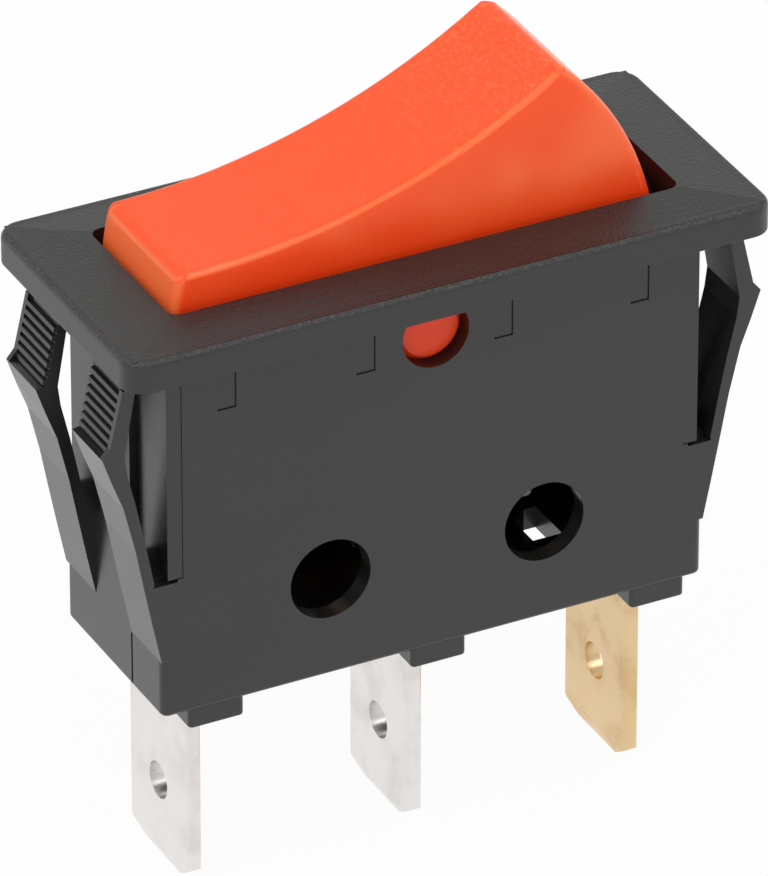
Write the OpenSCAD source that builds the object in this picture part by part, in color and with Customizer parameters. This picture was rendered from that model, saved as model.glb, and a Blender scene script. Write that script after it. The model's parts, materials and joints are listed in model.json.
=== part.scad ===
// Illuminated panel rocker switch, single pole, with three blade tabs.
// Origin: centre of the panel cut-out, on the panel's front face, where the
// bezel's underside rests. +X towards the end that switches on, +Y across the
// rocker, +Z out of the panel.

/* [Bezel] */
// length of the bezel over its ends
bezel_l = 34.4; // [32:0.1:38]
// width of the bezel
bezel_w = 15.1; // [13:0.1:18]
// height of the bezel's outer edge above the panel
bezel_edge_t = 1.65; // [1:0.05:2.5]
// extra height of the bezel at the window
bezel_crown = 0.25; // [0.1:0.05:1]
// radius of the bezel's plan corners
bezel_corner_r = 1.2; // [0.5:0.1:3]
// rounding along the bezel's top edge
bezel_edge_r = 0.4; // [0.1:0.05:0.8]

/* [Body] */
// length of the body below the panel
body_l = 29.3; // [26:0.1:32]
// width of the body
body_w = 10.6; // [9:0.1:13]
// depth of the body behind the panel
body_d = 19.8; // [16:0.1:26]
// thickness of the long side walls
side_wall_t = 1.0; // [0.6:0.05:1.6]
// thickness of the floor
floor_t = 1.2; // [0.8:0.1:2]
// diameter of the round side holes
side_hole_d = 4.3; // [3:0.1:5]
// distance of a side hole from the middle
side_hole_x = 5.78; // [4:0.02:8]
// height of the side holes above the body's bottom
side_hole_h = 5.4; // [4:0.1:7]

/* [Snap arms] */
// width of one snap arm
arm_w = 3.3; // [2:0.1:3.6]
// number of ratchet teeth on an arm
arm_teeth = 7; // [3:1:8]
// pitch of the ratchet teeth
tooth_pitch = 0.46; // [0.3:0.02:0.8]

/* [Rocker] */
// length of the rocker at its widest
rocker_l = 25.86; // [22:0.02:27]
// width of the rocker
rocker_w = 8.05; // [7:0.05:9]
// height of the rocker's waist above its pivot
rocker_h = 7.8; // [5:0.05:10]
// radius of the hollow finger surface
rocker_dish_r = 35.5; // [25:0.5:60]
// angle from level to either end stop
rocker_tilt = 17; // [8:0.5:20]
// depth of the pivot below the panel's front face
pivot_depth = 2.3; // [1.8:0.05:4]
// diameter of the pivot pins
pivot_d = 3.4; // [2.4:0.1:4]

/* [Terminals] */
// width of a blade tab
tab_w = 6.3; // [4.8:0.1:9.5]
// thickness of a blade tab
tab_t = 0.8; // [0.5:0.1:1.2]
// distance between neighbouring tabs
tab_pitch = 12; // [9:0.1:14]
// length of a tab below the body
tab_len = 11.5; // [8:0.1:14]
// diameter of the locking hole in a tab
tab_hole_d = 1.95; // [1.2:0.05:2.5]

/* [Hidden] */
$fn = 48;
eps = 0.02;                       // overlap that joins two pieces of one solid
run_clear = 0.08;                 // radial clearance of a pivot pin in its hole
slide_clear = 0.06;               // radial clearance of the plunger in its tube
fit_clear = 0.05;                 // clearance round a part seated in the housing
window_l = rocker_l + 1.3;
window_w = rocker_w + 0.95;
window_corner_r = 0.6;
window_z = bezel_edge_t + bezel_crown;
cavity_l = window_l;
cavity_w = body_w - 2 * side_wall_t;
end_wall_x = min(cavity_l / 2 + 0.7, body_l / 2 - 0.3); // outer face of the upper end walls
side_hole_z = body_d - side_hole_h;
rib_w = 3.9;                      // rib between the two arms of an end
floor_z = -body_d + floor_t;
slot_z = -body_d + 7.65;          // bottom of the slots behind the arms
foot_z = slot_z - 4.5;            // where the arms run out into the end faces
boss_w = 2.95;
boss_h = 1.05;
boss_shift = 0.28;                // the bosses stand a little off their tabs
body_corner_r = 0.4;
body_edge_r = 0.25;
side_hole_shift = 0.14;           // the pair of side holes is a little off centre
groove_d = 0.2;                   // depth of the grooves between the ratchet teeth
arm_border = 0.3;                 // plain border beside the teeth
mark_w = 1.0;                     // shallow recesses on the front face
mark_h = 3.42;
mark_pitch = 7.37;
mark_x = -11.6;
mark_depth = 0.08;
pivot_z = -pivot_depth;
pivot_hole_r = pivot_d / 2 + run_clear;
pin_reach = body_w / 2 - 0.65;    // how far a pivot pin reaches from the middle
end_r = 16;                       // radius of the rocker's end faces
end_cx = rocker_l / 2 - end_r;
end_cz = 1.0;
dish_cz = rocker_h + rocker_dish_r;
rocker_edge_r = 0.35;
rocker_corner_r = 0.7;            // rounding between the finger surface and an end face
rocker_upright_r = 0.5;           // rounding between an end face and a side
rocker_wall = 1.0;
skirt_z = -1.2;                   // lower edge of the rocker's skirt, from the pivot
ear_z = -2.3;                     // lower edge of the ears round the pivot pins
tube_r = 1.9;
tube_bore_r = 1.3;
tube_z = -5.0;
plunger_r = tube_bore_r - slide_clear;
plunger_tip_r = 1.1;
blade_t = 0.5;
fulcrum_h = 5.48;                 // height of the blade's rocking line above the floor
fulcrum_z = floor_z + fulcrum_h;
blade_gap = 0.22;                 // air between the level blade and the plunger's tip
plunger_reach = pivot_z - fulcrum_z - blade_t - blade_gap - plunger_tip_r; // pivot to tip centre
plunger_top = -1.2;
spring_seat = 2.35;               // depth of the spring's seat below the rocker's waist
spring_top = rocker_h - spring_seat;
spring_wire_d = 0.35;
spring_turns = 8;
blade_tilt = 5;                   // tilt of the contact blade at either stop
blade_w = 4.4;
blade_wing = 14;                  // rise of the blade's wings
blade_wing_x = 3.0;
blade_right = 3.7;
blade_rise = blade_wing_x * tan(blade_wing);
contact_x = tab_pitch * 0.7;
blade_left = contact_x + 1.2;
contact_r = 1.2;
contact_h = 0.5;
contact_gap = 0.05 + contact_r * sin(blade_tilt); // air under the middle of the closed contact
bead_r = 0.2;                     // rounded edge that the blade rocks on
pad_top = fulcrum_z + (blade_rise - contact_h) * cos(blade_tilt)
  - contact_x * sin(blade_tilt) - contact_h - contact_gap; // top of the fixed contact's shelf
pad_x = contact_x - 1.5;
shank_w = tab_w - 1.3;
lead_r = 0.25;
wire_r = 0.35;
wall_y = cavity_w / 2 - wire_r - 0.05; // where the wires run along the back wall
lamp_r = 2.0;
lamp_h = 8.85;                    // height of the lamp above the floor
lamp_z = floor_z + lamp_h;
lamp_x0 = 4.5;
lamp_end_gap = 1.65;              // room for the lamp's leads at the end wall
lamp_x1 = cavity_l / 2 - lamp_end_gap;
lamp_seal = 1.25;                 // depth of a lead in the pinched end
lamp_y = 0.6;
lamp_lead_x = lamp_x1 + 0.75;
lamp_wire_y = 0.7;                // half the distance between the lamp's two wires
notch_h = 3.7;                    // height of the lamp lead in its terminal's notch
notch_z = floor_z + notch_h;
resistor_r = 0.85;
resistor_z = floor_z + resistor_r + 0.75;
resistor_y = wall_y - 1.3;
resistor_x0 = lamp_x0 + 0.1;
resistor_x1 = resistor_x0 + 4.3;
cap_t = 0.5;
cap_r = resistor_r + 0.08;

// ---------- shared shapes ----------

// Box given by its low and high corners.
module span(a, b) {
  translate(a) cube([b[0] - a[0], b[1] - a[1], b[2] - a[2]]);
}

// Extrudes a shape drawn in X and Z across the width, centred on Y = 0.
module across(w) {
  translate([0, w / 2, 0]) rotate([90, 0, 0]) linear_extrude(w) children();
}

// Round bar along Y.
module bar_y(r, y0, y1) {
  translate([0, y1, 0]) rotate([90, 0, 0]) cylinder(h = y1 - y0, r = r);
}

// Round bar along X from x0 to x1.
module bar_x(r, x0, x1) {
  translate([x0, 0, 0]) rotate([0, 90, 0]) cylinder(h = x1 - x0, r = r);
}

// Rounded rectangle in plan.
module plan_rect(l, w, r) {
  square([l - 2 * r, w], center = true);
  square([l, w - 2 * r], center = true);
  for (sx = [-1, 1], sy = [-1, 1])
    translate([sx * (l / 2 - r), sy * (w / 2 - r)]) circle(r);
}

// Moves the children from the rocker's own frame to its resting place.
module at_rest() {
  translate([0, 0, pivot_z]) rotate([0, -rocker_tilt, 0]) children();
}

// Moves the children from the level blade's frame to its resting place.
module blade_at_rest() {
  translate([0, 0, fulcrum_z]) rotate([0, blade_tilt, 0]) children();
}

// ---------- housing ----------

// Slab with rounded plan corners and a rounded top edge.
module soft_slab(l, w, h, cr, r) {
  lx = l / 2 - cr;
  ly = w / 2 - cr;
  linear_extrude(h - r) plan_rect(l, w, cr);
  linear_extrude(h) plan_rect(l - 2 * r, w - 2 * r, cr - r);
  for (s = [-1, 1]) {
    translate([0, s * (w / 2 - r), h - r]) bar_x(r, -lx, lx);
    translate([s * (l / 2 - r), 0, h - r]) bar_y(r, -ly, ly);
  }
  for (sx = [-1, 1], sy = [-1, 1])
    translate([sx * lx, sy * ly, h - r])
      rotate_extrude() translate([cr - r, 0]) intersection() {
        circle(r);
        translate([-(cr - r), -r]) square([cr, 2 * r]);
      }
}

// The same slab turned over, hanging down from a height.
module hung_slab(x, top, l, w, h, cr, r) {
  translate([x, 0, top]) mirror([0, 0, 1]) soft_slab(l, w, h, cr, r);
}

// Low crown that rises from the bezel's edge to its window.
module bezel_crown_slab() {
  r = bezel_edge_r;
  intersection() {
    across(bezel_w - 2 * r) polygon([
      [-bezel_l / 2 + r, bezel_edge_t - eps], [bezel_l / 2 - r, bezel_edge_t - eps],
      [window_l / 2, window_z], [-window_l / 2, window_z]]);
    rotate([0, 0, 90]) across(bezel_l - 2 * r) polygon([
      [-bezel_w / 2 + r, bezel_edge_t - eps], [bezel_w / 2 - r, bezel_edge_t - eps],
      [window_w / 2, window_z], [-window_w / 2, window_z]]);
  }
}

// Outline of one snap arm at the +X end, from its root up to its head. The
// ribbed part of the head has a row of grooves above the knee.
module arm_outline(ribbed) {
  head_z = -4.5;
  top_z = -1.0;
  root_x = body_l / 2;
  tip_x = root_x + 3.0;
  face_z = head_z + 0.5;
  face_x = tip_x - 0.42;
  lean = (root_x + 1.9 - face_x) / (top_z - face_z);
  polygon(concat(
    [[root_x - 0.6, foot_z], [root_x + 0.02, foot_z], [root_x + 0.45, slot_z - 2.4],
     [root_x + 0.9, slot_z - 0.1], [root_x + 1.33, (slot_z + head_z) / 2 - 1.65],
     [root_x + 1.93, head_z - 2.95], [root_x + 2.5, head_z - 1.45], [tip_x, head_z]],
    ribbed ? [[face_x - lean * 0.4 - groove_d, head_z + 0.1]] : [[face_x, face_z]],
    [for (i = [0 : arm_teeth - 1], k = [[0, 1], [0.12, 0], [0.6, 0], [0.72, 1]])
      let (z = head_z + 0.12 + (i + k[0]) * tooth_pitch,
           x = face_x + (z - face_z) * lean - k[1] * groove_d)
      if (ribbed && z < top_z - 0.05) [x, z]],
    [[root_x + 1.9 - (ribbed ? groove_d : 0), top_z], [root_x + 1.22, top_z],
     [root_x + 1.84, head_z - 0.1], [root_x + 1.7, head_z - 1.2],
     [root_x + 1.25, head_z - 3.1], [root_x + 0.85, (slot_z + head_z) / 2 - 1.2],
     [root_x + 0.35, slot_z], [root_x - 0.6, slot_z]]));
}

// The teeth run out at an arm's inner side and stop short of its outer side.
module snap_arms() {
  for (sx = [0, 1], sy = [0, 1])
    mirror([sx, 0, 0]) mirror([0, sy, 0]) {
      translate([0, body_w / 2 - arm_w / 2 - arm_border / 2, 0])
        across(arm_w - arm_border) arm_outline(true);
      translate([0, body_w / 2 - arm_border / 2, 0]) across(arm_border) arm_outline(false);
    }
}

// Outer block of the body with its bosses, before anything is hollowed out.
module body_block() {
  span([-end_wall_x, -body_w / 2, slot_z - eps], [end_wall_x, body_w / 2, eps]);
  span([-body_l / 2, -rib_w / 2, slot_z - eps], [body_l / 2, rib_w / 2, eps]);
  hung_slab(0, slot_z, body_l, body_w, body_d + slot_z, body_corner_r, body_edge_r);
  for (i = [-1, 0, 1])
    hung_slab(i * tab_pitch + boss_shift, -body_d + 0.3, boss_w, body_w - 0.2, boss_h + 0.3, 0.25, 0.12);
}

// Shallow recesses in a row under the bezel, on the front face.
module front_marks() {
  for (i = [0 : 3])
    translate([mark_x + i * mark_pitch, 0, 0])
      span([0, -body_w / 2 - 1, -mark_h], [mark_w, -body_w / 2 + mark_depth, 0]);
}

// Narrow slit down the lower part of one end face.
module end_slit() {
  span([-body_l / 2 - 1, -2.03, -body_d - 1], [-body_l / 2 + 0.35, -1.87, foot_z - 0.1]);
}

// Shallow relief at the upper corners of the long faces.
module corner_reliefs() {
  for (sx = [0, 1], sy = [0, 1])
    mirror([sx, 0, 0]) mirror([0, sy, 0]) {
      span([end_wall_x - 0.8, -body_w / 2 - 1, slot_z],
           [end_wall_x + 0.01, -body_w / 2 + 0.05, 0]);
      span([end_wall_x - 0.5, -body_w / 2 - 1, slot_z - 0.15],
           [body_l / 2 + 0.39, -body_w / 2 + 0.6, slot_z + eps]);
    }
}

// Slots in the floor and bosses for the terminals.
module terminal_slots() {
  for (i = [-1, 0, 1])
    translate([i * tab_pitch, 0, -body_d - boss_h - 1])
      linear_extrude(boss_h + floor_t + 2)
        square([tab_t + 2 * fit_clear, tab_w + 2 * fit_clear], center = true);
}

module housing() color([0.09, 0.09, 0.09]) {
  difference() {
    union() {
      soft_slab(bezel_l, bezel_w, bezel_edge_t, bezel_corner_r, bezel_edge_r);
      bezel_crown_slab();
      body_block();
      snap_arms();
    }
    // rocker window and the cavity under it
    translate([0, 0, 0.4]) linear_extrude(window_z + 1)
      plan_rect(window_l, window_w, window_corner_r);
    translate([0, 0, floor_z]) linear_extrude(-floor_z + 1)
      plan_rect(cavity_l, cavity_w, window_corner_r);
    terminal_slots();
    corner_reliefs();
    front_marks();
    end_slit();
    // pivot holes and side holes through both long walls
    translate([0, 0, pivot_z]) bar_y(pivot_hole_r, -body_w, body_w);
    for (s = [-1, 1])
      translate([s * side_hole_x + side_hole_shift, 0, -side_hole_z]) bar_y(side_hole_d / 2, -body_w, body_w);
    // small core slot in the floor beside the lamp terminal
    span([tab_pitch - 4.2, -0.6, -body_d - 1], [tab_pitch - 2.6, 2.2, floor_z + 1]);
  }
  // seats inside the cavity that hold the lamp and the resistor
  for (x = [lamp_x0 + 1.1, lamp_x1 - 1.3]) lamp_cradle(x);
  resistor_cradle(tab_pitch - 4.45);
}

// Wall with a round seat under the lamp.
module lamp_cradle(x) {
  difference() {
    span([x - 0.35, -cavity_w / 2 - eps, lamp_z - lamp_r - 0.4],
         [x + 0.35, cavity_w / 2 + eps, lamp_z - 0.9]);
    translate([0, lamp_y, lamp_z]) bar_x(lamp_r + fit_clear, x - 1, x + 1);
  }
}

// Upright wall on the floor with a round seat, open at the top, for the resistor.
module resistor_cradle(x) {
  r = resistor_r + fit_clear;
  difference() {
    span([x - 0.25, 0.4, floor_z - eps], [x + 0.25, cavity_w / 2 + eps, resistor_z + 0.4]);
    translate([0, resistor_y, resistor_z]) bar_x(r, x - 1, x + 1);
    span([x - 1, resistor_y - r, resistor_z], [x + 1, resistor_y + r, resistor_z + 2]);
  }
}

// ---------- rocker and plunger ----------

// Disc about a Y axis with its two rims rounded.
module rim_disc(r, w) {
  e = rocker_upright_r;
  rotate([90, 0, 0]) rotate_extrude($fn = 96) {
    translate([0, -w / 2]) square([r - e, w]);
    translate([0, -w / 2 + e]) square([r, w - 2 * e]);
    for (s = [-1, 1]) translate([r - e, s * (w / 2 - e)]) circle(e, $fn = 24);
  }
}

// Ring about a Y axis whose bore has rounded rims.
module rim_ring(r_in, r_out, w) {
  e = rocker_edge_r;
  rotate([90, 0, 0]) rotate_extrude($fn = 180) {
    translate([r_in + e, -w / 2]) square([r_out - r_in - e, w]);
    translate([r_in, -w / 2 + e]) square([r_out - r_in, w - 2 * e]);
    for (s = [-1, 1]) translate([r_in + e, s * (w / 2 - e)]) circle(e, $fn = 16);
  }
}

// Centre in X and Z of the rounding that touches the finger surface and the +X end face.
function corner_centre() =
  let (a = rocker_dish_r + rocker_corner_r, b = end_r - rocker_corner_r,
       dx = end_cx, dz = end_cz - dish_cz, d = sqrt(dx * dx + dz * dz),
       t = (a * a - b * b + d * d) / (2 * d), h = sqrt(a * a - t * t))
  [t * dx / d - h * dz / d, dish_cz + t * dz / d + h * dx / d];

// Solid outer form of the rocker, in its own frame with the pivot at the origin.
module rocker_form() {
  c = corner_centre();
  up = rocker_corner_r / (rocker_dish_r + rocker_corner_r);
  out = rocker_corner_r / (end_r - rocker_corner_r);
  p = [c[0] - c[0] * up, c[1] + (dish_cz - c[1]) * up];
  q = [c[0] + (c[0] - end_cx) * out, c[1] + (c[1] - end_cz) * out];
  m = (p[1] - q[1]) / (p[0] - q[0]);
  x1 = c[0] + 3;
  x0 = c[0] - 3;
  intersection() {
    translate([0, 0, dish_cz]) rim_ring(rocker_dish_r, dish_cz + 4, rocker_w);
    translate([end_cx, 0, end_cz]) rim_disc(end_r, rocker_w);
    translate([-end_cx, 0, end_cz]) rim_disc(end_r, rocker_w);
    union() {
      span([-20, -20, skirt_z], [20, 20, 20]);
      bar_y(-ear_z, -20, 20);
    }
    across(30) polygon([
      [-x0, q[1] + m * (x0 - q[0])], [-x1, q[1] + m * (x1 - q[0])], [-x1, -6], [x1, -6],
      [x1, q[1] + m * (x1 - q[0])], [x0, q[1] + m * (x0 - q[0])]]);
  }
  for (s = [-1, 1], t = [-1, 0, 1])
    translate([s * c[0], t * (rocker_w / 2 - rocker_corner_r), c[1]]) {
      if (t == 0) bar_y(rocker_corner_r, -rocker_w / 2 + rocker_corner_r, rocker_w / 2 - rocker_corner_r);
      else sphere(rocker_corner_r);
    }
}

// Hollow under the rocker's top.
module rocker_hollow() {
  across(rocker_w - 2 * rocker_wall) difference() {
    intersection() {
      translate([end_cx, end_cz]) circle(end_r - rocker_wall, $fn = 96);
      translate([-end_cx, end_cz]) circle(end_r - rocker_wall, $fn = 96);
    }
    translate([0, dish_cz]) circle(rocker_dish_r + 1.2, $fn = 180);
  }
}

module rocker() color([0.9, 0.22, 0.08]) {
  at_rest() {
    difference() {
      union() {
        difference() {
          rocker_form();
          rocker_hollow();
        }
        translate([0, 0, tube_z]) cylinder(h = rocker_h - tube_z - 0.6, r = tube_r);
        for (y = [-1, 1])
          span([-0.4, min(y * 1.6, y * (rocker_w / 2 - 0.5)), ear_z + 0.3],
               [0.4, max(y * 1.6, y * (rocker_w / 2 - 0.5)), rocker_h - 0.6]);
      }
      translate([0, 0, tube_z - 1]) cylinder(h = spring_top - tube_z + 1, r = tube_bore_r);
    }
    for (s = [0, 1]) mirror([0, s, 0]) pivot_pin();
  }
}

// Pivot pin at the +Y side, with a lead-in chamfer on its end.
module pivot_pin() {
  rotate([-90, 0, 0]) rotate_extrude() polygon([
    [0, rocker_w / 2 - 0.5], [pivot_d / 2, rocker_w / 2 - 0.5],
    [pivot_d / 2, pin_reach - 0.2], [pivot_d / 2 - 0.2, pin_reach], [0, pin_reach]]);
}

module plunger() color([0.85, 0.85, 0.82]) {
  at_rest() {
    rotate_extrude() polygon(concat(
      [[0, plunger_top], [plunger_r - 0.1, plunger_top], [plunger_r, plunger_top - 0.1],
       [plunger_r, -plunger_reach + 0.8], [plunger_tip_r, -plunger_reach + 0.6]],
      [[plunger_tip_r, -plunger_reach], [0, -plunger_reach]]));
    translate([0, 0, -plunger_reach]) sphere(plunger_tip_r);
  }
}

// Compression spring above the plunger, as rings wound close together.
module plunger_spring() color([0.6, 0.6, 0.62]) {
  lo = plunger_top + spring_wire_d / 2 + 0.02;
  hi = spring_top - spring_wire_d / 2 - 0.02;
  step = (hi - lo) / (spring_turns - 1);
  ring_r = tube_bore_r - 0.1 - spring_wire_d / 2;
  at_rest() union() {
    for (i = [0 : spring_turns - 1])
      translate([0, 0, lo + i * step])
        rotate_extrude() translate([ring_r, 0]) circle(spring_wire_d / 2, $fn = 12);
    for (i = [0 : spring_turns - 2])
      rotate([0, 0, i * 137])
        translate([ring_r - 0.08, -0.2, lo + i * step]) cube([0.16, 0.4, step]);
  }
}

// ---------- switch contacts ----------

module contact_blade() color([0.8, 0.55, 0.35]) {
  blade_at_rest() difference() {
    across(blade_w) polygon([
      [-blade_left, blade_rise], [-blade_wing_x, blade_rise], [0, 0],
      [blade_right, blade_right * tan(blade_wing)],
      [blade_right, blade_right * tan(blade_wing) + blade_t],
      [0, blade_t], [-blade_wing_x, blade_rise + blade_t],
      [-blade_left, blade_rise + blade_t]]);
    translate([-contact_x, 0, 0]) cylinder(h = 3, r = 0.6);
    bar_y(bead_r + run_clear, -blade_w, blade_w);
  }
}

// Rivet on the underside of the blade, with its peened head on top.
module blade_contact() color([0.85, 0.85, 0.84]) {
  blade_at_rest() translate([-contact_x, 0, blade_rise]) {
    translate([0, 0, -contact_h]) cylinder(h = contact_h, r = contact_r);
    translate([0, 0, -eps]) cylinder(h = blade_t + 2 * eps, r = 0.6);
    translate([0, 0, blade_t]) cylinder(h = 0.25, r = 0.95);
  }
}

module fixed_contact() color([0.85, 0.85, 0.84]) {
  translate([-contact_x, 0, pad_top]) {
    cylinder(h = contact_h, r = contact_r);
    translate([0, 0, -tab_t - eps]) cylinder(h = tab_t + 2 * eps, r = 0.6);
    translate([0, 0, -tab_t - 0.25]) cylinder(h = 0.25, r = 0.95);
  }
}

// Blade tab below the body, standing in the YZ plane and centred on X = 0.
module tab_blade() {
  z1 = -body_d - boss_h + 0.4;
  z0 = -body_d - tab_len;
  b = 0.12;
  tip_w = 1.2;
  tip_h = 0.8;
  difference() {
    intersection() {
      translate([0, 0, z0]) linear_extrude(z1 - z0) polygon([
        [-tab_t / 2 + b, -tab_w / 2], [tab_t / 2 - b, -tab_w / 2],
        [tab_t / 2, -tab_w / 2 + b], [tab_t / 2, tab_w / 2 - b],
        [tab_t / 2 - b, tab_w / 2], [-tab_t / 2 + b, tab_w / 2],
        [-tab_t / 2, tab_w / 2 - b], [-tab_t / 2, -tab_w / 2 + b]]);
      rotate([0, 0, 90]) across(tab_t + 1) polygon([
        [-tab_w / 2 + tip_w, z0], [tab_w / 2 - tip_w, z0], [tab_w / 2, z0 + tip_h],
        [tab_w / 2, z1], [-tab_w / 2, z1], [-tab_w / 2, z0 + tip_h]]);
      across(tab_w + 1) polygon([
        [-0.2, z0], [0.2, z0], [tab_t / 2, z0 + 0.6], [tab_t / 2, z1],
        [-tab_t / 2, z1], [-tab_t / 2, z0 + 0.6]]);
    }
    translate([0, 0, z0 + 4.35]) bar_x(tab_hole_d / 2, -1, 1);
  }
}

// Shank through the floor and up inside the body, narrower than the tab.
module shank(top) {
  span([-tab_t / 2, -tab_w / 2, -body_d - boss_h + 0.3], [tab_t / 2, tab_w / 2, floor_z + 0.1]);
  span([-tab_t / 2, -shank_w / 2, floor_z], [tab_t / 2, shank_w / 2, top]);
}

module terminal_load() color([0.83, 0.82, 0.79]) {
  difference() {
    union() {
      translate([-tab_pitch, 0, 0]) {
        tab_blade();
        shank(pad_top);
      }
      span([-tab_pitch - tab_t / 2, -shank_w / 2, pad_top - tab_t],
           [-pad_x, shank_w / 2, pad_top]);
    }
    translate([-contact_x, 0, pad_top - 2]) cylinder(h = 3, r = 0.6);
  }
}

module terminal_line() color([0.83, 0.82, 0.79]) {
  tab_blade();
  difference() {
    union() {
      shank(fulcrum_z - 0.1);
      translate([0, 0, fulcrum_z]) bar_y(bead_r, -shank_w / 2, shank_w / 2);
    }
    span([-1, -1.2, fulcrum_z - 2.2], [1, 1.2, fulcrum_z + 1]);
  }
  // ears that keep the blade on its fulcrum
  for (s = [-1, 1])
    span([-tab_t / 2, s * (shank_w / 2 + 0.05) - 0.25, floor_z + 1],
         [tab_t / 2, s * (shank_w / 2 + 0.05) + 0.25, fulcrum_z + 0.9]);
}

module terminal_lamp() color([0.8, 0.68, 0.38]) {
  translate([tab_pitch, 0, 0]) {
    tab_blade();
    difference() {
      shank(notch_z + 0.7);
      span([-1, lamp_y - lamp_wire_y - lead_r - 0.1, notch_z - lead_r - 0.05],
           [1, lamp_y - lamp_wire_y + lead_r + 0.1, notch_z + 2]);
    }
  }
}

// ---------- lamp circuit ----------

// Glass envelope lying along X, with a domed end and a flat pinched end.
module lamp_bulb() color([0.95, 0.8, 0.7, 0.5]) {
  translate([0, lamp_y, lamp_z]) {
    difference() {
      union() {
        bar_x(lamp_r, lamp_x0 + lamp_r * 0.6, lamp_x1);
        intersection() {
          translate([lamp_x0 + lamp_r, 0, 0]) sphere(lamp_r);
          span([lamp_x0, -3, -3], [lamp_x0 + lamp_r + eps, 3, 3]);
        }
      }
      bar_x(lamp_r - 0.4, lamp_x0 + lamp_r, lamp_x1 - 1);
      for (s = [-1, 1])
        translate([0, s * lamp_wire_y, 0]) bar_x(lead_r + 0.03, lamp_x1 - 2, lamp_x1 + 1);
    }
  }
}

module lamp_electrode(s) {
  translate([0, lamp_y + s * lamp_wire_y, lamp_z])
    bar_x(0.4, lamp_x0 + lamp_r + 0.4, lamp_x1 - 1.3);
}

module lamp_electrode_front() color([0.6, 0.6, 0.6]) lamp_electrode(-1);

module lamp_electrode_back() color([0.6, 0.6, 0.6]) lamp_electrode(1);

// Round wire through a list of points, each leg along one axis.
module wire(points, r) {
  for (i = [0 : len(points) - 2]) {
    a = points[i];
    b = points[i + 1];
    if (a[0] != b[0])
      translate([0, a[1], a[2]]) bar_x(r, min(a[0], b[0]), max(a[0], b[0]));
    else if (a[1] != b[1])
      translate([a[0], 0, a[2]]) bar_y(r, min(a[1], b[1]), max(a[1], b[1]));
    else
      translate([a[0], a[1], min(a[2], b[2])]) cylinder(h = abs(a[2] - b[2]), r = r);
    if (i > 0) translate(a) sphere(r);
  }
}

// Lead from the lamp's front wire down to the notch in the lamp terminal.
module lamp_lead_front() color([0.75, 0.74, 0.7])
  wire([[lamp_x1 - lamp_seal, lamp_y - lamp_wire_y, lamp_z],
        [lamp_lead_x, lamp_y - lamp_wire_y, lamp_z],
        [lamp_lead_x, lamp_y - lamp_wire_y, notch_z],
        [tab_pitch - 0.9, lamp_y - lamp_wire_y, notch_z]], lead_r);

// Lead from the lamp's back wire down to the resistor's outer cap.
module lamp_lead_back() color([0.75, 0.74, 0.7])
  wire([[lamp_x1 - lamp_seal, lamp_y + lamp_wire_y, lamp_z],
        [lamp_lead_x, lamp_y + lamp_wire_y, lamp_z],
        [lamp_lead_x, wall_y, lamp_z],
        [lamp_lead_x, wall_y, resistor_z],
        [resistor_x1 + 1.2, wall_y, resistor_z],
        [resistor_x1 + 1.2, resistor_y, resistor_z],
        [resistor_x1 + 0.02, resistor_y, resistor_z]], lead_r);

module resistor_body() color([0.75, 0.65, 0.5]) {
  translate([0, resistor_y, resistor_z]) bar_x(resistor_r, resistor_x0 + cap_t, resistor_x1 - cap_t);
}

module resistor_cap(x0) {
  translate([0, resistor_y, resistor_z]) bar_x(cap_r, x0, x0 + cap_t - 0.02);
}

module resistor_cap_inner() color([0.7, 0.7, 0.7]) resistor_cap(resistor_x0);

module resistor_cap_outer() color([0.7, 0.7, 0.7]) resistor_cap(resistor_x1 - cap_t + 0.02);

// Short wire from the resistor's inner cap to the load wire.
module resistor_lead() color([0.75, 0.74, 0.7])
  wire([[resistor_x0 - 0.02, resistor_y, resistor_z],
        [resistor_x0 - 1.4, resistor_y, resistor_z],
        [resistor_x0 - 1.4, wall_y, resistor_z],
        [resistor_x0 - 2, wall_y, resistor_z]], lead_r);

// Insulated wire along the back wall from the resistor to the load terminal.
module load_wire() color([0.75, 0.1, 0.08])
  wire([[resistor_x0 - 2.02, wall_y, resistor_z],
        [-tab_pitch + tab_t / 2 + wire_r + 0.05, wall_y, resistor_z],
        [-tab_pitch + tab_t / 2 + wire_r + 0.05, 1, resistor_z]], wire_r);

housing();
rocker();
plunger();
plunger_spring();
contact_blade();
blade_contact();
fixed_contact();
terminal_load();
terminal_line();
terminal_lamp();
lamp_bulb();
lamp_electrode_front();
lamp_electrode_back();
lamp_lead_front();
lamp_lead_back();
resistor_body();
resistor_cap_inner();
resistor_cap_outer();
resistor_lead();
load_wire();
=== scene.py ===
# Panel rocker switch: finishes, wound spring, light and camera round the fixed frame.
import json
import math
import bpy
import numpy as np
from mathutils import Matrix, Vector


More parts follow.
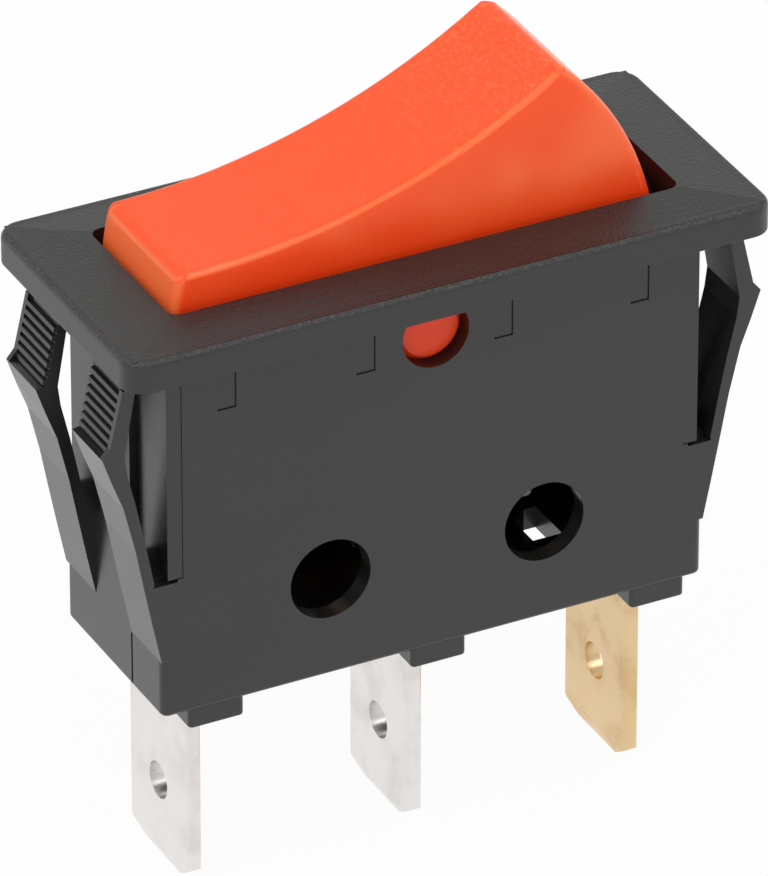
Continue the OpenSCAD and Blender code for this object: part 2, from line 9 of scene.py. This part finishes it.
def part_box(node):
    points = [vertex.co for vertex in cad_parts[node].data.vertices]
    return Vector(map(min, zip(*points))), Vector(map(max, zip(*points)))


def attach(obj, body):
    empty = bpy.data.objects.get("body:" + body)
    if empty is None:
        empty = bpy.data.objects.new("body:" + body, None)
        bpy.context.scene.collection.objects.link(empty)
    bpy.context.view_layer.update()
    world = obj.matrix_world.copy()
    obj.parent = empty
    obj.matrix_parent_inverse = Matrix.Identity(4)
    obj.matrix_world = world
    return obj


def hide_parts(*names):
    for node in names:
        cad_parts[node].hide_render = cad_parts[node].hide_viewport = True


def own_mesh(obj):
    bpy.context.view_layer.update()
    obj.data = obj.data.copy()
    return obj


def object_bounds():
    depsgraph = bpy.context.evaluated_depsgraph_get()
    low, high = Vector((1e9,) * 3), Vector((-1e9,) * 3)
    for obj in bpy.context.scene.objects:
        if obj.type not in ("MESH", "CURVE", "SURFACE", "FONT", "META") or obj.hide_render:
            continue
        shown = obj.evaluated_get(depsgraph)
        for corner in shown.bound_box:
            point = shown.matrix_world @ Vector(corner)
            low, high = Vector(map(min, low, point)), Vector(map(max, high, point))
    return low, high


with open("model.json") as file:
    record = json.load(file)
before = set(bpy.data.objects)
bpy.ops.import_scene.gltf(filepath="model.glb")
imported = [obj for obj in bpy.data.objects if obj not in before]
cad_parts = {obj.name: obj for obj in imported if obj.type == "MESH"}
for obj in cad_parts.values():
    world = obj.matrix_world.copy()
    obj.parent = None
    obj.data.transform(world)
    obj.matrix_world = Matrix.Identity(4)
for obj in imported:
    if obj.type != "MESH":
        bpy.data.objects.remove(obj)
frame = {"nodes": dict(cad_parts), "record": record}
cadBox = [list(corner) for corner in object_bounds()]
nodes = frame["nodes"]
slotOf = {part["node"]: part["material_slot"] for part in frame["record"]["subparts"]}
print("frame loaded,", len(nodes), "nodes")

# ---- shader helpers ----


class Wire:  # one shader socket that takes part in sums
    def __init__(self, coat, socket):
        self.coat, self.socket = coat, socket

    def calc(self, operation, *terms):
        return self.coat.node("ShaderNodeMath", {"operation": operation}, dict(enumerate(terms)))

    def __add__(self, other):
        return self.calc("ADD", self, other)

    def __radd__(self, other):
        return self.calc("ADD", other, self)

    def __sub__(self, other):
        return self.calc("SUBTRACT", self, other)

    def __rsub__(self, other):
        return self.calc("SUBTRACT", other, self)

    def __mul__(self, other):
        return self.calc("MULTIPLY", self, other)

    def __rmul__(self, other):
        return self.calc("MULTIPLY", other, self)

    def __truediv__(self, other):
        return self.calc("DIVIDE", self, other)

    def size(self):  # absolute value
        return self.calc("ABSOLUTE", self)

    def fade(self, low, high):  # smooth step from 0 at low to 1 at high
        return self.coat.node("ShaderNodeMapRange", {"interpolation_type": "SMOOTHSTEP"},
                              {"Value": self, "From Min": low, "From Max": high})


class Coat:  # one material, built node by node
    def __init__(self, name):
        self.material = bpy.data.materials.new(name)
        self.material.use_nodes = True
        self.tree = self.material.node_tree
        self.tree.nodes.clear()
        self.place = self.node("ShaderNodeTexCoord", out="Object")

    def node(self, kind, settings=None, values=None, out=0):
        made = self.tree.nodes.new(kind)
        for key, value in (settings or {}).items():
            setattr(made, key, value)
        for key, value in (values or {}).items():
            if isinstance(value, Wire):
                self.tree.links.new(value.socket, made.inputs[key])
            else:
                made.inputs[key].default_value = value
        return Wire(self, made.outputs[out]) if made.outputs else None

    def axis(self, name):  # one coordinate of the point, in metres
        return self.node("ShaderNodeSeparateXYZ", values={0: self.place}, out=name)

    def facing(self, direction):  # cosine between the surface and a direction of the frame
        normal = self.node("ShaderNodeTexCoord", out="Normal")
        return self.node("ShaderNodeVectorMath", {"operation": "DOT_PRODUCT"},
                         {0: normal, 1: direction}, out="Value")

    def stretched(self, scale):  # the point with each axis scaled
        return self.node("ShaderNodeVectorMath", {"operation": "MULTIPLY"},
                         {0: self.place, 1: scale})

    def noise(self, grainSize, detail=2.0, rough=0.5, at=None):
        return self.node("ShaderNodeTexNoise", {"noise_dimensions": "3D"}, {
            "Vector": at or self.place, "Scale": 1 / grainSize, "Detail": detail, "Roughness": rough})

    def cells(self, cellSize):  # distance to the nearest of scattered points
        return self.node("ShaderNodeTexVoronoi", {"feature": "F1"},
                         {"Vector": self.place, "Scale": 1 / cellSize})

    def tint(self, share, low, high):  # colour from low to high
        low, high = (c if isinstance(c, Wire) else (*c, 1) for c in (low, high))
        return self.node("ShaderNodeMix", {"data_type": "RGBA"}, {0: share, 6: low, 7: high}, out=2)

    def bumps(self, height):  # normal of a relief whose height is in metres
        return self.node("ShaderNodeBump", values={"Height": height, "Distance": 1.0, "Strength": 1.0})

    def shade(self, **values):  # principled shader, as the surface of the material
        named = {key.replace("_", " "): value for key, value in values.items()}
        return self.surface(self.node("ShaderNodeBsdfPrincipled", values=named))

    def surface(self, shader):
        self.node("ShaderNodeOutputMaterial", values={"Surface": shader})
        return self.material


# ---- plastics ----

housingLook = {
    "tone": (0.0105, 0.0115, 0.0100),    # colour of the moulding
    "paler": 1.3,                        # how much lighter its cloudy patches are
    "cloud": 0.004,                      # size of a cloudy patch, metres
    "grainGlint": (0.060, 0.060, 0.056),       # colour of the grain tops painted lighter: painted highlight on the grain, strongest along the rounded edges and on the top
    "grain": 0.00021,                    # size of a grain on the bezel
    "fineShare": 0.45,                   # size of the finer grain beside the coarse one
    "relief": 0.000050,                  # height of a grain on the bezel
    "edgeRelief": 0.000085,              # height of a grain along the rounded edges
    "bodyGrain": 0.00030,                # size of the faint ripple on the body
    "bodyRelief": 0.0000012,
    "bezelRough": 0.36,
    "bodyRough": 0.25,
    "index": 1.60,                       # refractive index
}


def grainedBlack(look=housingLook):
    coat = Coat("black_plastic")
    bezel = coat.axis("Z").fade(-0.0001, 0.0001)
    level = coat.facing((0, 0, 1))
    rim = level.fade(0.25, 0.55) * (1 - level.fade(0.90, 0.985))
    top = level.fade(0.80, 0.97)
    coarse = coat.noise(look["grain"], 2.0, 0.65)
    fine = coat.noise(look["grain"] * look["fineShare"], 1.0)
    peaks = coarse.fade(0.46, 0.62)
    specks = coarse.fade(0.60, 0.70) * fine.fade(0.45, 0.62)
    # grain specks painted lighter as a painted highlight, most along the rounded rim and on the top of the
    # bezel
    grainGlint = bezel * (specks * (0.30 + 0.45 * rim + 0.25 * top) + peaks * rim * 0.35)
    cloud = coat.noise(look["cloud"], 3.0)
    paler = tuple(look["paler"] * c for c in look["tone"])
    colour = coat.tint(cloud.fade(0.3, 0.7) * 0.4, look["tone"], paler)
    colour = coat.tint(grainGlint, colour, look["grainGlint"])
    ripple = coat.noise(look["bodyGrain"], 2.0)
    height = look["relief"] * (0.35 + 0.65 * top) + look["edgeRelief"] * rim
    relief = bezel * (coarse + 0.4 * fine) * height + ripple * look["bodyRelief"]
    rough = look["bodyRough"] + bezel * (look["bezelRough"] - look["bodyRough"]) + cloud * 0.05
    return coat.shade(Base_Color=colour, Roughness=rough, Normal=coat.bumps(relief),
                      IOR=look["index"])


rockerLook = {
    "body": (0.93, 0.088, 0.010),        # colour of the tinted plastic
    "deepTintAndShade": (0.88, 0.050, 0.005),        # darker red: painted shade low on the sides, standing for the black bezel's reflection, and the deeper random patches on the finger surface
    "paleTintAndGlint": (1.00, 0.21, 0.060),         # paler orange: painted highlight along the rounded edges, also the paler patches on the sides and the lighter grain on the finger surface
    "grain": 0.00022,                    # size of a grain on the finger surface
    "relief": 0.000030,
    "cloud": 0.0035,                     # size of a deeper patch on the finger surface
    "patch": 0.0055,                     # size of a paler patch on the sides
    "topRough": 0.42,
    "sideRough": 0.30,
    "tilt": 17.0,                        # degrees from level at rest
    "glow": 0.10,                        # painted glow: the colour is given off as light of its own, though the lens is no lamp
    "index": 1.45,                       # refractive index
    "scatter": 0.5,                      # share of light that scatters inside
    "scatterDepth": 0.0012,
    "scatterTint": (1.0, 0.25, 0.08),    # how far red, green and blue carry
}


def redLens(look=rockerLook):
    coat = Coat("red_lens")
    lean = math.radians(look["tilt"])
    up = (-math.sin(lean), 0, math.cos(lean))
    level = coat.facing(up)
    finger = level.fade(0.60, 0.85)
    # band of the rounded edges between the finger surface and the sides, where a highlight is painted
    edgeGlint = level.fade(0.10, 0.35) * (1 - level.fade(0.70, 0.90))
    raised = coat.axis("X").fade(-0.002, 0.007)
    grains = coat.noise(look["grain"], 2.0, 0.65)
    cloud = coat.noise(look["cloud"], 2.0)
    patch = coat.noise(look["patch"], 1.0)
    # darker red low on the sides, near the bezel: painted shade standing for the black bezel's reflection
    low = 1 - coat.axis("Z").fade(0.0012, 0.0050)
    colour = coat.tint(low * (1 - finger) * 0.9, look["body"], look["deepTintAndShade"])
    colour = coat.tint(patch.fade(0.40, 0.75) * (1 - low) * (1 - finger) * 0.55, colour, look["paleTintAndGlint"])
    colour = coat.tint(finger * grains.fade(0.47, 0.66) * (0.10 + 0.40 * raised), colour, look["paleTintAndGlint"])
    colour = coat.tint(finger * cloud.fade(0.45, 0.80) * 0.20, colour, look["deepTintAndShade"])
    # painted highlight along the rounded edges
    colour = coat.tint(edgeGlint * 0.65, colour, look["paleTintAndGlint"])
    rough = look["sideRough"] + finger * (look["topRough"] - look["sideRough"])
    relief = finger * grains * (0.35 + 0.65 * raised) * look["relief"]
    # the colour, with its painted highlight and shade, is also given off as a painted glow
    return coat.shade(Base_Color=colour, Roughness=rough, Normal=coat.bumps(relief),
                      IOR=look["index"], Subsurface_Weight=look["scatter"],
                      Subsurface_Scale=look["scatterDepth"], Subsurface_Radius=look["scatterTint"],
                      Emission_Color=colour, Emission_Strength=look["glow"])


def plainPlastic(name, tone, rough, grainSize=0.00015, relief=0.000002):
    coat = Coat(name)
    cloud = coat.noise(0.002, 3.0)
    colour = coat.tint(cloud.fade(0.3, 0.7), tone, tuple(0.88 * c for c in tone))
    return coat.shade(Base_Color=colour, Roughness=rough + cloud * 0.1,
                      Normal=coat.bumps(coat.noise(grainSize) * relief), IOR=1.5)


def bandedResistor():
    coat = Coat("resistor_coat")
    low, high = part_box("resistor_body")
    run = (coat.axis("X") - low.x) / (high.x - low.x)
    colour = coat.tint(coat.noise(0.001).fade(0.3, 0.7), (0.62, 0.47, 0.28), (0.55, 0.41, 0.24))
    bands = ((0.18, (0.05, 0.10, 0.45)), (0.38, (0.20, 0.20, 0.20)), (0.58, (0.55, 0.30, 0.02)),
             (0.84, (0.60, 0.42, 0.10)))
    for centre, paint in bands:
        band = 1 - (run - centre).size().fade(0.045, 0.06)
        colour = coat.tint(band, colour, paint)
    return coat.shade(Base_Color=colour, Roughness=0.35,
                      Normal=coat.bumps(coat.noise(0.0003) * 0.000006))


def clearGlass():
    coat = Coat("lamp_glass")
    drawn = coat.noise(0.0011, 1.0, at=coat.stretched((0.25, 1, 1)))
    return coat.shade(Base_Color=(0.98, 0.94, 0.90, 1), Roughness=0.02, IOR=1.48,
                      Transmission_Weight=1.0, Normal=coat.bumps(drawn * 0.00001))


# ---- metals ----


def rolledMetal(name, tone, tarnish, rough, streakAxis="Z", relief=0.0000012):
    coat = Coat(name)
    along = {"X": (0.06, 1, 1), "Y": (1, 0.06, 1), "Z": (1, 1, 0.06)}[streakAxis]
    streaks = coat.noise(0.00006, 2.0, at=coat.stretched(along))
    stain = coat.noise(0.0022, 4.0, 0.6)
    pits = 1 - coat.cells(0.00045).fade(0.05, 0.16)
    colour = coat.tint(stain.fade(0.42, 0.72) * 0.6, tone, tarnish)
    colour = coat.tint(pits * stain.fade(0.5, 0.62) * 0.35, colour, tuple(0.5 * c for c in tarnish))
    return coat.shade(Base_Color=colour, Metallic=1.0,
                      Roughness=rough + stain.fade(0.4, 0.7) * 0.12 + streaks * 0.06,
                      Normal=coat.bumps(streaks * relief + stain * 0.000008))


finishes = {
    "black_plastic": grainedBlack(),
    "red_lens": redLens(),
    "white_nylon": plainPlastic("white_nylon", (0.78, 0.77, 0.72), 0.38),
    "spring_steel": rolledMetal("spring_steel", (0.62, 0.62, 0.63), (0.42, 0.41, 0.40), 0.22, "X"),
    "copper_alloy": rolledMetal("copper_alloy", (0.83, 0.50, 0.32), (0.55, 0.28, 0.17), 0.28, "X"),
    "silver": rolledMetal("silver", (0.90, 0.89, 0.87), (0.66, 0.64, 0.60), 0.30, "Y"),
    "silver_plate": rolledMetal("silver_plate", (0.82, 0.79, 0.77), (0.74, 0.70, 0.67), 0.27),
    "pale_brass": rolledMetal("pale_brass", (0.78, 0.57, 0.32), (0.66, 0.44, 0.21), 0.28),
    "lamp_glass": clearGlass(),
    "lamp_metal": rolledMetal("lamp_metal", (0.60, 0.60, 0.60), (0.40, 0.39, 0.38), 0.35, "X"),
    "tinned_wire": rolledMetal("tinned_wire", (0.78, 0.77, 0.74), (0.55, 0.53, 0.50), 0.30, "X"),
    "resistor_coat": bandedResistor(),
    "red_sleeve": plainPlastic("red_sleeve", (0.55, 0.03, 0.02), 0.30),
}
for name, node in nodes.items():
    node.data.materials.clear()
    node.data.materials.append(finishes[slotOf[name]])
print("finishes made")

# ---- wound spring above the plunger ----

springLook = {
    "wire": 0.00035,                     # diameter of the wire, metres
    "turns": 8.5,
    "deadTurns": 1.2,                    # turns that lie closed at each end
    "closedPitch": 1.02,                 # rise of a closed turn, in wire diameters
    "sides": 14,
    "stepsPerTurn": 40,
    "shortest": 0.92,                    # share of its length when the plunger is pressed in
}


def tubeAlong(name, path, radius, sides):
    # Ring of radius r round each point of the path, in the plane of the two normals:
    # point + r (cos v * side + sin v * over), with the last rings closed by flat caps.
    ahead = np.gradient(path, axis=0)
    ahead /= np.linalg.norm(ahead, axis=1, keepdims=True)
    middle = path.mean(axis=0)
    axisLine = path[-1] - path[0]
    axisLine = axisLine / np.linalg.norm(axisLine)
    inward = middle - path
    inward -= np.outer(inward @ axisLine, axisLine)
    inward -= ahead * np.sum(inward * ahead, axis=1, keepdims=True)
    inward /= np.linalg.norm(inward, axis=1, keepdims=True)
    over = np.cross(ahead, inward)
    v = np.linspace(0, 2 * np.pi, sides, endpoint=False)
    ring = radius * (np.cos(v)[None, :, None] * inward[:, None] + np.sin(v)[None, :, None] * over[:, None])
    points = (path[:, None] + ring).reshape(-1, 3)
    row, col = np.meshgrid(np.arange(len(path) - 1), np.arange(sides), indexing="ij")
    here, beside = row * sides + col, row * sides + (col + 1) % sides
    faces = np.stack([here, beside, beside + sides, here + sides], axis=-1).reshape(-1, 4)
    caps = [list(range(sides))[::-1], list(range(len(points) - sides, len(points)))]
    mesh = bpy.data.meshes.new(name)
    mesh.from_pydata(points.tolist(), [], faces.tolist() + caps)
    mesh.polygons.foreach_set("use_smooth", np.ones(len(mesh.polygons), bool))
    mesh.validate()
    piece = bpy.data.objects.new(name, mesh)
    bpy.context.scene.collection.objects.link(piece)
    return piece


def woundSpring(look=springLook):
    # Helix: radius R, angle 2 pi turns u, height along the tube eased so that the end turns lie closed.
    lean = math.radians(rockerLook["tilt"])
    axisLine = np.array([-math.sin(lean), 0, math.cos(lean)])
    across = np.array([math.cos(lean), 0, math.sin(lean)])
    points = np.array([v.co for v in nodes["plunger_spring"].data.vertices])
    along = points @ axisLine
    low, high = along.min() + look["wire"] / 2, along.max() - look["wire"] / 2
    centre = points.mean(axis=0)
    centre = centre - axisLine * (centre @ axisLine)
    sideways = np.linalg.norm(points - centre - np.outer(along, axisLine), axis=1)
    radius = sideways.max() - look["wire"] / 2
    turn = np.linspace(0, look["turns"], int(look["turns"] * look["stepsPerTurn"]) + 1)
    dead = look["deadTurns"]
    closed = look["wire"] * look["closedPitch"]
    spread = (high - low - 2 * dead * closed) / (look["turns"] - 2 * dead)
    pitch = np.where((turn < dead) | (turn > look["turns"] - dead), closed, spread)
    rise = np.concatenate([[0], np.cumsum((pitch[1:] + pitch[:-1]) / 2 * np.diff(turn))])
    rise = low + rise * (high - low) / rise[-1]
    angle = 2 * np.pi * turn
    path = (centre + np.outer(radius * np.cos(angle), across) + np.outer(radius * np.sin(angle), [0, 1, 0])
            + np.outer(rise, axisLine))
    spring = tubeAlong("wound_spring", path, look["wire"] / 2, look["sides"])
    spring.data.materials.append(finishes["spring_steel"])
    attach(spring, "lever")
    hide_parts("plunger_spring")
    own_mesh(spring)
    return spring


woundSpring()
print("spring wound")

# ---- floor, light and camera ----

studioLook = {
    "floorHalf": 1.5,                    # half the width of the floor, metres
    "floorGap": 0.00005,                 # how far the floor lies under the tabs
    "skyLevel": 0.85,                    # even light from all round
    "cameraLevel": 1.0,                  # sky as seen directly and in reflections
    "keyLevel": 1.6,                     # watts of the lamp above the left shoulder
    "keySpot": (-0.45, -0.25, 0.55),
    "keySize": (0.45, 0.45),
    "fillLevel": 1.0,                    # watts of the lamp above the right shoulder
    "fillSpot": (0.30, -0.42, 0.60),
    "fillSize": (0.35, 0.35),
    "floorTone": (0.82, 0.82, 0.82),
    "shadowShare": 0.05,                 # how much of the floor seen by the camera is lit plaster
}


def paleFloor(look=studioLook):
    half, level = look["floorHalf"], cadBox[0][2] - look["floorGap"]
    mesh = bpy.data.meshes.new("floor")
    mesh.from_pydata([(-half, -half, level), (half, -half, level), (half, half, level),
                      (-half, half, level)], [], [(0, 1, 2, 3)])
    floor = bpy.data.objects.new("floor", mesh)
    bpy.context.scene.collection.objects.link(floor)
    coat = Coat("pale_floor")
    plaster = coat.node("ShaderNodeBsdfDiffuse", values={"Color": (*look["floorTone"], 1)})
    white = coat.node("ShaderNodeEmission", values={"Color": (1, 1, 1, 1), "Strength": 1.0})
    seen = coat.node("ShaderNodeLightPath", out="Is Camera Ray")
    mirrored = coat.node("ShaderNodeLightPath", out="Is Glossy Ray")
    through = coat.node("ShaderNodeLightPath", out="Is Transmission Ray")
    share = seen * (1 - look["shadowShare"]) + mirrored + through
    mesh.materials.append(coat.surface(coat.node("ShaderNodeMixShader",
                                                 values={0: share, 1: plaster, 2: white})))


def evenSky(look=studioLook):
    world = bpy.data.worlds.new("even_sky")
    bpy.context.scene.world = world
    world.use_nodes = True
    tree = world.node_tree
    tree.nodes.clear()
    rays = tree.nodes.new("ShaderNodeLightPath")
    bright = tree.nodes.new("ShaderNodeMath")
    bright.operation = "MAXIMUM"
    level = tree.nodes.new("ShaderNodeMapRange")
    sky = tree.nodes.new("ShaderNodeBackground")
    out = tree.nodes.new("ShaderNodeOutputWorld")
    level.inputs["To Min"].default_value = look["skyLevel"]
    level.inputs["To Max"].default_value = look["cameraLevel"]
    tree.links.new(rays.outputs["Is Camera Ray"], bright.inputs[0])
    tree.links.new(rays.outputs["Is Glossy Ray"], bright.inputs[1])
    tree.links.new(bright.outputs[0], level.inputs["Value"])
    tree.links.new(level.outputs[0], sky.inputs["Strength"])
    tree.links.new(sky.outputs[0], out.inputs["Surface"])


def softLamp(name, spot, size, power):
    lamp = bpy.data.lights.new(name, "AREA")
    lamp.shape, lamp.size, lamp.size_y, lamp.energy = "RECTANGLE", size[0], size[1], power
    holder = bpy.data.objects.new(name, lamp)
    holder.location = spot
    holder.rotation_mode = "QUATERNION"
    holder.rotation_quaternion = (-Vector(spot)).to_track_quat("-Z", "Y")
    bpy.context.scene.collection.objects.link(holder)


cameraLook = {
    "azimuth": -26.960,                  # degrees round from the front, towards the low end
    "elevation": 31.153,
    "distance": 0.523165,                # metres to the middle of the picture's plane
    "perMetre": 20900.0,                 # picture units per metre at that distance
    "origin": (385.479, 242.894),        # where the frame's origin falls, from the top left
    "size": (768, 876),
}


def placeCamera(look=cameraLook):
    azimuth, elevation = math.radians(look["azimuth"]), math.radians(look["elevation"])
    back = Vector((math.sin(azimuth) * math.cos(elevation), -math.cos(azimuth) * math.cos(elevation),
                   math.sin(elevation)))
    right = Vector((math.cos(azimuth), math.sin(azimuth), 0))
    over = back.cross(right)
    width, height = look["size"]
    aside = (look["origin"][0] - width / 2) / look["perMetre"]
    above = (height / 2 - look["origin"][1]) / look["perMetre"]
    camera = bpy.data.cameras.new("camera")
    camera.sensor_width = 36
    camera.lens = look["perMetre"] * look["distance"] * camera.sensor_width / max(width, height)
    camera.clip_start, camera.clip_end = 0.05, 20
    holder = bpy.data.objects.new("camera", camera)
    spot = back * look["distance"] - right * aside - over * above
    turn = Matrix((right, over, back)).transposed().to_4x4()
    holder.matrix_world = Matrix.Translation(spot) @ turn
    bpy.context.scene.collection.objects.link(holder)
    bpy.context.scene.camera = holder


paleFloor()
evenSky()
for lamp in ("key", "fill"):
    softLamp(lamp + "_lamp", *(studioLook[lamp + part] for part in ("Spot", "Size", "Level")))
placeCamera()
bpy.context.scene.view_settings.view_transform = "Standard"
print("studio set")
